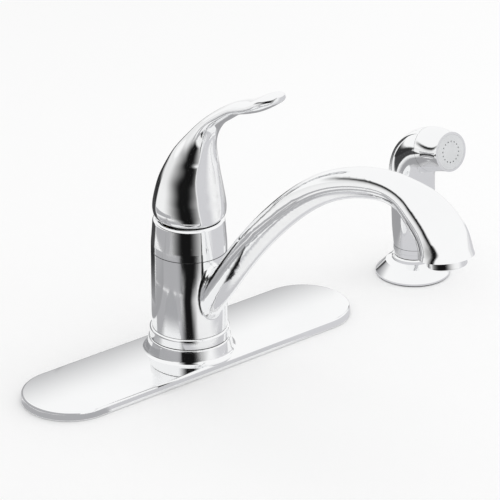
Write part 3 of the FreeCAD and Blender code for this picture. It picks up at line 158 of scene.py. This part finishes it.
STEEL_LOOK = ((0.52, 0.52, 0.53), (0.64, 0.64, 0.65), (0.22, 0.36), 1.0, 120.0)
STEEL = surface("steel", *STEEL_LOOK, stretch=(1, 1, 8))[0]
THREADED_STEEL = threaded(surface("threaded_steel", *STEEL_LOOK), *STEEL_THREAD)

ZINC = surface("zinc", (0.42, 0.43, 0.44), (0.55, 0.56, 0.57), (0.38, 0.55), 1.0, 160.0, bump=0.25)[0]
RUBBER = surface("rubber", (0.012, 0.012, 0.012), (0.03, 0.03, 0.03), (0.5, 0.7), 0.0, 200.0)[0]
FOAM = surface("foam", (0.03, 0.03, 0.03), (0.09, 0.09, 0.09), (0.8, 0.95), 0.0, 500.0, bump=0.5)[0]

PLASTIC_SCALE = 80.0
WHITE_PLASTIC = surface("white_plastic", (0.76, 0.76, 0.74), (0.82, 0.82, 0.80), (0.35, 0.5),
                        0.0, PLASTIC_SCALE)[0]
BLACK_PLASTIC = surface("black_plastic", (0.015, 0.015, 0.016), (0.035, 0.035, 0.036), (0.35, 0.5),
                        0.0, PLASTIC_SCALE)[0]
GREY_PLASTIC = surface("grey_plastic", (0.66, 0.67, 0.68), (0.71, 0.72, 0.73), (0.3, 0.42),
                       0.0, PLASTIC_SCALE)[0]

FINISH = {
    CHROME: ("deck_plate", "base_ring", "bonnet_ring", "spout", "lever_handle", "aerator_housing",
             "spray_body", "spray_head_shell", "spray_collar", "spray_trigger", "spray_holder"),
    THREADED_BRASS: ("valve_body", "spray_outlet_nipple"),
    BRASS: ("mounting_nut", "retainer_nut", "cartridge_stem"),
    THREADED_STEEL: ("plate_studs",),
    STEEL: ("plate_washers", "mounting_washer", "carrier_clip", "pivot_pin", "stem_pin",
            "handle_set_screw", "trigger_pin", "plunger_spring", "aerator_screen", "holder_washer"),
    ZINC: ("handle_bracket", "pivot_carrier"),
    RUBBER: ("base_seal", "spout_seals", "cartridge_seals", "aerator_washer", "holder_gasket",
             "upper_glide_ring"),
    FOAM: ("deck_gasket",),
    WHITE_PLASTIC: ("lower_glide_ring", "aerator_insert", "cartridge_sleeve", "hose_connector",
                    "spray_plunger"),
    BLACK_PLASTIC: ("plate_wing_nuts", "holder_nut", "diverter"),
    GREY_PLASTIC: ("spray_face",),
}
for finish, names in FINISH.items():
    for name in names:
        mesh = NODES[name].data
        mesh.materials.clear()
        mesh.materials.append(finish)


# ---------------------------------------------------------------- lever handle, as one smooth skin
# It follows the same sections as the solid, in millimetres, but its reflections don't kink at them.
# Upright part: height, shift towards the front, radius
DOME = ((102.4, 0.5, 21.8), (104.6, 0.9, 23.6), (108.5, 0.7, 24.5), (114.0, 0.6, 24.3),
        (121.4, 0.8, 22.9), (128.7, 1.3, 21.4), (136.5, 2.6, 19.2), (144.0, 4.8, 17.0))
# Bent part and lever: reach, height, lean from upright in degrees, half width, half thickness
LEVER = ((8.5, 151.4, 19.0, 14.8, 13.0), (12.5, 159.8, 28.0, 12.2, 9.3), (18.4, 169.0, 38.0, 10.3, 6.6),
         (27.2, 178.7, 50.0, 9.4, 4.8), (39.4, 187.9, 60.0, 9.1, 4.6), (52.1, 195.9, 66.0, 9.4, 4.4),
         (63.1, 200.3, 66.0, 10.1, 4.6), (72.1, 204.2, 62.0, 10.7, 4.6), (80.4, 209.1, 60.0, 10.8, 4.5),
         (86.4, 212.8, 60.0, 9.3, 4.1), (90.4, 215.0, 60.0, 6.3, 3.2), (92.6, 216.6, 60.0, 2.6, 0.9))
# Hollow front: reach of the bottom of the hollow, height, lean, half width at the crease, depth
SCOOP = ((22.3, 98.0, 0.0, 7.2, 1.0), (22.5, 106.0, 0.0, 7.6, 1.2), (20.0, 121.0, 0.0, 9.0, 1.7),
         (17.6, 136.5, 4.0, 9.6, 2.2), (18.0, 148.0, 10.0, 8.0, 2.6), (20.2, 160.0, 22.0, 5.6, 2.6),
         (27.4, 171.0, 40.0, 4.6, 2.2), (37.0, 179.0, 56.0, 4.2, 1.6), (49.0, 185.5, 64.0, 3.4, 0.9))
# The skin: distance between its rows, points in a row, and the softness of the hollow's crease
SKIN_STEP = 0.5
SKIN_COLUMNS = 240
CREASE_BLEND = 0.7
# How far each row is averaged: distances from the rim, from the tip, and the width at each
EASED_FROM_RIM = (0, 7, 14)
EASED_FROM_TIP = (12, 0)
EASED_WIDTHS = (0.3, 1.0, 3.2, 2.2, 0.25)
# Depths tried in each section to find the hollow's surface, and the depth that stands for none
TRIES = 70
NO_CUT = -1000.0
# The rim's front as y and z, and its rise towards the back
RIM_FRONT = (-25.2, 102.4)
RIM_SLOPE = 1.5 / 49.0
# Radius and height of each corner inside, and the set screw hole's height, radius and bottom
CAVITY = ((19.9, 107.6), (12.6, 121.5), (6.45, 121.5), (6.45, 134.9), (0.01, 134.9))
SCREW_HOLE = (127.5, 2.5, 15.6)
TURN = 2 * np.pi * np.arange(SKIN_COLUMNS) / SKIN_COLUMNS


def through(stations, step):
    """Rows of values a step apart, on a smooth curve through the stations; the first two are a place."""
    table = np.array(stations, float)
    knots = np.concatenate([[0], np.cumsum(np.hypot(*np.diff(table[:, :2], axis=0).T))])
    slopes = np.gradient(table, knots, axis=0)
    at = np.linspace(0, knots[-1], int(knots[-1] / step) + 1)
    k = np.clip(np.searchsorted(knots, at, "right") - 1, 0, len(knots) - 2)
    span = (knots[k + 1] - knots[k])[:, None]
    t = ((at - knots[k])[:, None]) / span
    values = ((2 * t ** 3 - 3 * t ** 2 + 1) * table[k] + (t ** 3 - 2 * t ** 2 + t) * span * slopes[k]
              + (3 * t ** 2 - 2 * t ** 3) * table[k + 1] + (t ** 3 - t ** 2) * span * slopes[k + 1])
    return at, values


def eased(at, table):
    """The same rows, averaged with their neighbours, less so near both ends."""
    places = [*EASED_FROM_RIM, *(at[-1] - distance for distance in EASED_FROM_TIP)]
    width = np.interp(at, places, EASED_WIDTHS)
    weights = np.exp(-0.5 * ((at[:, None] - at[None, :]) / width[:, None]) ** 2)
    return weights @ table / weights.sum(1, keepdims=True)


def hollow_lines():
    """The hollow's bottom, with its direction, its inward direction and its radius at each row."""
    hollow = through(SCOOP, SKIN_STEP)[1]
    lean = np.radians(hollow[:, 2])
    along = np.stack([-np.sin(lean), np.cos(lean)], 1)
    inward = np.stack([np.cos(lean), np.sin(lean)], 1)
    bottom = np.stack([-hollow[:, 0], hollow[:, 1]], 1)
    radius = (hollow[:, 3] ** 2 + hollow[:, 4] ** 2) / (2 * hollow[:, 4])
    return bottom, along, inward, radius


def hollow_depths(reach, z, lean, half_depth, across, lines):
    """How deep the hollow's surface lies in a section, at each distance across it."""
    bottom, along, inward, radii = lines
    tries = np.linspace(-half_depth, half_depth, TRIES)
    places = np.stack([-reach + tries * math.cos(lean), z + tries * math.sin(lean)], 1)
    offset = ((places[:, None, :] - bottom[None]) * along[None]).sum(2)
    near = np.abs(offset).argmin(1)
    reached = np.abs(offset[np.arange(TRIES), near]) < SKIN_STEP
    lift = ((places - bottom[near]) * inward[near]).sum(1)
    radius = radii[near]
    gap = lift[None] + radius[None] - np.sqrt(np.maximum(radius[None] ** 2 - across[:, None] ** 2, 0))
    usable = reached[None] & (radius[None] > np.abs(across)[:, None])
    cut = np.full(SKIN_COLUMNS, NO_CUT)
    for j in range(TRIES - 1):
        hit = usable[:, j] & usable[:, j + 1] & (gap[:, j] < 0) & (gap[:, j + 1] >= 0)
        share = gap[hit, j] / (gap[hit, j] - gap[hit, j + 1])
        cut[hit] = tries[j] + share * (tries[j + 1] - tries[j])
    return cut


def skin_rows():
    """Points of the handle's outside, a row for each section."""
    stations = [(shift, z, 0.0, radius, radius) for z, shift, radius in DOME] + list(LEVER)
    rows = eased(*through(stations, SKIN_STEP))
    lines = hollow_lines()
    made = []
    for reach, z, lean_degrees, half_width, half_depth in rows:
        lean = math.radians(lean_degrees)
        across = half_width * np.cos(TURN)
        depth = half_depth * np.sin(TURN)
        cut = hollow_depths(reach, z, lean, half_depth, across, lines)
        front = (depth < 0) & (cut > NO_CUT / 10)
        mix = np.clip(0.5 + 0.5 * (cut - depth) / CREASE_BLEND, 0, 1)
        worn = depth * (1 - mix) + cut * mix + CREASE_BLEND * mix * (1 - mix)
        depth = np.where(front, worn, depth)
        made.append(np.stack([across, -reach + depth * math.cos(lean), z + depth * math.sin(lean)], 1))
    return np.array(made)


def rim_height(y):
    return RIM_FRONT[1] + (y - RIM_FRONT[0]) * RIM_SLOPE


def trim_at_rim(rows):
    """Lifts the points below the slanted rim up to it, along the skin."""
    clear = [(row[:, 2] >= rim_height(row[:, 1])).all() for row in rows]
    first = clear.index(True)
    heights = rows[:first + 1, 0, 2]
    for k in range(first):
        for c in range(SKIN_COLUMNS):
            z = max(rows[k][c, 2], rim_height(rows[k][c, 1]))
            for axis in (0, 1):
                rows[k][c, axis] = np.interp(z, heights, rows[:first + 1, c, axis])
            rows[k][c, 2] = z


def sink_screw_hole(rows):
    """Sinks the points over the set screw hole to its bottom."""
    hole_z, hole_radius, bottom_y = SCREW_HOLE
    inside = (rows[..., 1] > 0) & (np.hypot(rows[..., 0], rows[..., 2] - hole_z) < hole_radius)
    rows[inside, 1] = bottom_y


def circle(radius, z=None):
    """A ring about the body's axis, at that height or on the slanted rim."""
    y = radius * np.sin(TURN)
    height = rim_height(y) if z is None else np.full(len(y), z)
    return np.stack([radius * np.cos(TURN), y, height], 1)


def handle_mesh():
    """The outside, the rim and the inside of the handle, with hard edges between them."""
    rows = skin_rows()
    trim_at_rim(rows)
    sink_screw_hole(rows)
    points = []
    faces = []

    def strip(rings):
        start = len(points)
        for ring in rings:
            points.extend(Vector(place) * MM for place in ring)
        for j in range(len(rings) - 1):
            for i in range(SKIN_COLUMNS):
                a = start + j * SKIN_COLUMNS + i
                b = start + j * SKIN_COLUMNS + (i + 1) % SKIN_COLUMNS
                faces.append((a, b, b + SKIN_COLUMNS, a + SKIN_COLUMNS))

    strip(rows)
    last = len(points) - SKIN_COLUMNS
    tip = len(points)
    points.append(Vector(rows[-1].mean(0)) * MM)
    faces.extend((last + i, last + (i + 1) % SKIN_COLUMNS, tip) for i in range(SKIN_COLUMNS))
    inner_rim = circle(CAVITY[0][0])
    strip([inner_rim, rows[0]])
    rings = [inner_rim] + [circle(*corner) for corner in CAVITY]
    for low, high in zip(rings, rings[1:]):
        strip([high, low])
    mesh = bpy.data.meshes.new("lever_handle_skin")
    mesh.from_pydata(points, [], faces)
    mesh.polygons.foreach_set("use_smooth", [True] * len(mesh.polygons))
    mesh.materials.append(CHROME)
    return mesh


handle = bpy.data.objects.new("lever_handle_skin", handle_mesh())
bpy.context.scene.collection.objects.link(handle)
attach(handle, "handle")
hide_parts("lever_handle")


# ---------------------------------------------------------------- studio cards, seen only in the chrome
CARD_COLUMNS = 48
CARD_ROWS = 40
COOLNESS = 1.03
# How bright a card looks
BLACK = 0.008
DARK = 0.035
DEEP_GREY = 0.06
BACK_GREY = 0.36
GREY = 0.43
PLATE_GREY = 0.60
PALE_GREY = 0.66


def glow(name, level):
    """A card's material: plain light or dark that fades out towards the card's borders."""
    material, tree = new_material(name)
    fade = node(tree, "ShaderNodeVertexColor", layer_name="fade")
    clear = node(tree, "ShaderNodeBsdfTransparent")
    light = node(tree, "ShaderNodeEmission", {"Color": (level, level, level * COOLNESS, 1)})
    both = node(tree, "ShaderNodeMixShader")
    link(tree, fade.outputs["Color"], both.inputs["Fac"])
    link(tree, clear.outputs[0], both.inputs[1])
    link(tree, light.outputs[0], both.inputs[2])
    out = node(tree, "ShaderNodeOutputMaterial")
    link(tree, both.outputs[0], out.inputs["Surface"])
    return material


def round_about(azimuth, distance, height):
    """A point at that compass angle from the camera's side, about the body's axis."""
    angle = math.radians(CAMERA_SIDE + azimuth)
    return Vector((distance * math.sin(angle), -distance * math.cos(angle), height))


def ease(value):
    """0 to 1 with soft ends."""
    value = min(max(value, 0.0), 1.0)
    return value * value * (3 - 2 * value)


def blend(rows, part):
    """The row of values at that share of the way through the rows."""
    place = part * (len(rows) - 1)
    low = min(int(place), len(rows) - 2)
    share = place - low
    return [a + (b - a) * share for a, b in zip(rows[low], rows[low + 1])]


def arc(rows):
    """Places on a bent card. A row is left angle, right angle, distance and height."""
    def place(u, v):
        left_angle, right_angle, distance, height = blend(rows, v)
        return round_about(left_angle + (right_angle - left_angle) * u, distance, height)
    return place


def plain(first, second, third, fourth):
    """Places on a flat card with those corners, in order round it."""
    corners = [Vector(corner) for corner in (first, second, third, fourth)]

    def place(u, v):
        return corners[0].lerp(corners[1], u).lerp(corners[3].lerp(corners[2], u), v)
    return place


def card(name, place, soft, level):
    """A soft card. soft is the share that fades at the left, right, first and last border."""
    points = []
    fades = []
    faces = []
    for j in range(CARD_ROWS + 1):
        v = j / CARD_ROWS
        for i in range(CARD_COLUMNS + 1):
            u = i / CARD_COLUMNS
            points.append(place(u, v) * MM)
            fades.append(ease(u / soft[0]) * ease((1 - u) / soft[1]) * ease(v / soft[2])
                         * ease((1 - v) / soft[3]))
    for j in range(CARD_ROWS):
        for i in range(CARD_COLUMNS):
            k = j * (CARD_COLUMNS + 1) + i
            faces.append((k, k + 1, k + CARD_COLUMNS + 2, k + CARD_COLUMNS + 1))
    mesh = bpy.data.meshes.new(name)
    mesh.from_pydata(points, [], faces)
    layer = mesh.color_attributes.new("fade", "FLOAT_COLOR", "POINT")
    for value, fade in zip(layer.data, fades):
        value.color = (fade, fade, fade, 1)
    mesh.materials.append(glow(name, level))
    made = bpy.data.objects.new(name, mesh)
    bpy.context.scene.collection.objects.link(made)
    made.visible_camera = False
    made.visible_diffuse = False
    made.visible_shadow = False
    made.visible_transmission = False


# Angles are in degrees and lengths in millimetres; each row of a bent card goes outwards or upwards.
# The black band down the front of the hub, bonnet and dome
card("near_flag", arc([(-25, 27, 62, 2), (-26, 17, 62, 34), (-29, 30, 62, 52), (-33, 31, 62, 72)]),
     (0.42, 0.36, 0.02, 0.03), BLACK)
card("front_flag", arc([(-50, 45, 150, 0.9), (-66, 53, 235, 0.9), (-84, 61, 330, 0.9),
                        (-88, 60, 560, 0.9), (-90, 60, 900, 0.9), (-100, 42, 902, 90),
                        (-113, -20, 904, 200), (-132, -56, 906, 340), (-136, -90, 908, 490)]),
     (0.45, 0.40, 0.05, 0.12), BLACK)
# The grey left of that band
card("left_floor", arc([(-93, -58, 50, 0.5), (-109, -58, 100, 0.5), (-113, -58, 139, 0.5)]),
     (0.03, 0.15, 0.02, 0.02), GREY)
card("left_flag", arc([(-113, -14, 140, 0.6), (-113, -20, 140, 25), (-113, -24, 140, 46)]),
     (0.03, 0.05, 0.02, 0.40), GREY)
card("upper_left_flag", arc([(-117, -45, 230, 12), (-117, -45, 230, 30), (-117, -45, 230, 52)]),
     (0.03, 0.20, 0.10, 0.10), GREY)
card("near_floor", arc([(-62, -16, 96, 0.5), (-62, -16, 118, 0.5), (-62, -16, 139, 0.5)]),
     (0.15, 0.30, 0.10, 0.02), GREY)
# The dark left edge
card("back_flag", arc([(-182, -108, 100, 0.7), (-182, -109, 100, 20), (-182, -109, 100, 46)]),
     (0.10, 0.10, 0.02, 0.10), DARK)
card("far_back_flag", arc([(-182, -119, 400, 0.7), (-182, -119, 400, 50), (-182, -119, 400, 108)]),
     (0.10, 0.10, 0.02, 0.40), DARK)
card("back_floor", arc([(-176, -113, 150, 0.7), (-176, -117, 280, 0.7), (-176, -119, 430, 0.7)]),
     (0.20, 0.12, 0.10, 0.10), DEEP_GREY)
# The pale right side, with its darker edge
card("right_floor", arc([(52, 140, 60, 0.5), (52, 140, 420, 0.5), (52, 140, 1000, 0.5),
                         (52, 140, 1005, 200)]),
     (0.30, 0.02, 0.02, 0.40), PALE_GREY)
card("right_edge", arc([(132, 178, 60, 0.6), (132, 178, 200, 0.6), (132, 178, 500, 0.6)]),
     (0.30, 0.10, 0.02, 0.40), BACK_GREY)
# The grey back and side edges of the deck plate
card("plate_back", plain((-190, 62, 4), (190, 62, 4), (190, 62, 54), (-190, 62, 54)),
     (0.02, 0.02, 0.02, 0.92), BACK_GREY)
card("plate_front", plain((-150, -34.5, 0.3), (150, -34.5, 0.3), (150, -62, 0.3), (-150, -62, 0.3)),
     (0.02, 0.02, 0.02, 0.50), PLATE_GREY)

# ---------------------------------------------------------------- floor
# In metres; it lies a little under the plate
FLOOR_HALF = 6.0
FLOOR_DROP = 0.4 * MM

floor_mesh = bpy.data.meshes.new("floor")
floor_corners = [(x * FLOOR_HALF, y * FLOOR_HALF, 0) for x, y in ((-1, -1), (1, -1), (1, 1), (-1, 1))]
floor_mesh.from_pydata(floor_corners, [], [(0, 1, 2, 3)])
floor = bpy.data.objects.new("floor", floor_mesh)
bpy.context.scene.collection.objects.link(floor)
floor.location = (0, 0, -FLOOR_DROP)
PAPER = surface("paper", (0.985, 0.985, 0.985), (0.992, 0.992, 0.992), (0.85, 0.95), 0.0, 3.0,
                **{"Specular IOR Level": 0.0})[0]
floor_mesh.materials.append(PAPER)

# ---------------------------------------------------------------- light
# The surroundings light the scene at the first strength, and look plain white at the second
LIGHTING = 0.86
LOOKING = 1.0
# In metres, as the lamps' places and sizes
LAMPS_AIM = Vector((0.05, -0.05, 0.08))

world = bpy.data.worlds.new("studio")
bpy.context.scene.world = world
world.use_nodes = True
tree = world.node_tree
tree.nodes.clear()
path = node(tree, "ShaderNodeLightPath")
seen = node(tree, "ShaderNodeMath", operation="MAXIMUM")
link(tree, path.outputs["Is Camera Ray"], seen.inputs[0])
link(tree, path.outputs["Is Glossy Ray"], seen.inputs[1])
seen_all = node(tree, "ShaderNodeMath", operation="MAXIMUM")
link(tree, seen.outputs[0], seen_all.inputs[0])
link(tree, path.outputs["Is Transmission Ray"], seen_all.inputs[1])
around = node(tree, "ShaderNodeBackground", {"Color": (1, 1, 1, 1), "Strength": LIGHTING})
shown = node(tree, "ShaderNodeBackground", {"Color": (1, 1, 1, 1), "Strength": LOOKING})
both = node(tree, "ShaderNodeMixShader")
link(tree, seen_all.outputs[0], both.inputs["Fac"])
link(tree, around.outputs[0], both.inputs[1])
link(tree, shown.outputs[0], both.inputs[2])
out = node(tree, "ShaderNodeOutputWorld")
link(tree, both.outputs[0], out.inputs["Surface"])


def softbox(name, place, size, energy):
    """A soft lamp that the chrome doesn't show."""
    light = bpy.data.lights.new(name, "AREA")
    light.shape = "RECTANGLE"
    light.size, light.size_y = size
    light.energy = energy
    made = bpy.data.objects.new(name, light)
    bpy.context.scene.collection.objects.link(made)
    made.location = place
    made.rotation_euler = (LAMPS_AIM - Vector(place)).to_track_quat("-Z", "Y").to_euler()
    made.visible_glossy = False


softbox("overhead", (0.2, -0.2, 1.8), (1.6, 1.6), 4.0)
softbox("right_side", (1.6, -0.7, 0.9), (1.0, 1.2), 3.0)

# ---------------------------------------------------------------- camera
AZIMUTH = math.radians(CAMERA_SIDE)
ELEVATION = math.radians(24.965)
# Solved from the photograph; the focal length is for a picture of 500 by 500
CAMERA_AT = Vector((-1246.25, -1549.26, 1002.63)) * MM
FOCAL_PX = 3306.16
PICTURE_PX = 500
SENSOR = 36.0
CLIP_NEAR = 0.1
CLIP_FAR = 30.0

back = Vector((math.sin(AZIMUTH) * math.cos(ELEVATION), -math.cos(AZIMUTH) * math.cos(ELEVATION),
               math.sin(ELEVATION)))
right = Vector((math.cos(AZIMUTH), math.sin(AZIMUTH), 0))
up = back.cross(right)
camera = bpy.data.objects.new("camera", bpy.data.cameras.new("camera"))
bpy.context.scene.collection.objects.link(camera)
camera.matrix_world = Matrix((
    (right.x, up.x, back.x, CAMERA_AT.x), (right.y, up.y, back.y, CAMERA_AT.y),
    (right.z, up.z, back.z, CAMERA_AT.z), (0, 0, 0, 1)))
camera.data.sensor_width = SENSOR
camera.data.lens = SENSOR * FOCAL_PX / PICTURE_PX
camera.data.clip_start = CLIP_NEAR
camera.data.clip_end = CLIP_FAR
bpy.context.scene.camera = camera

bpy.context.scene.view_settings.view_transform = "Standard"
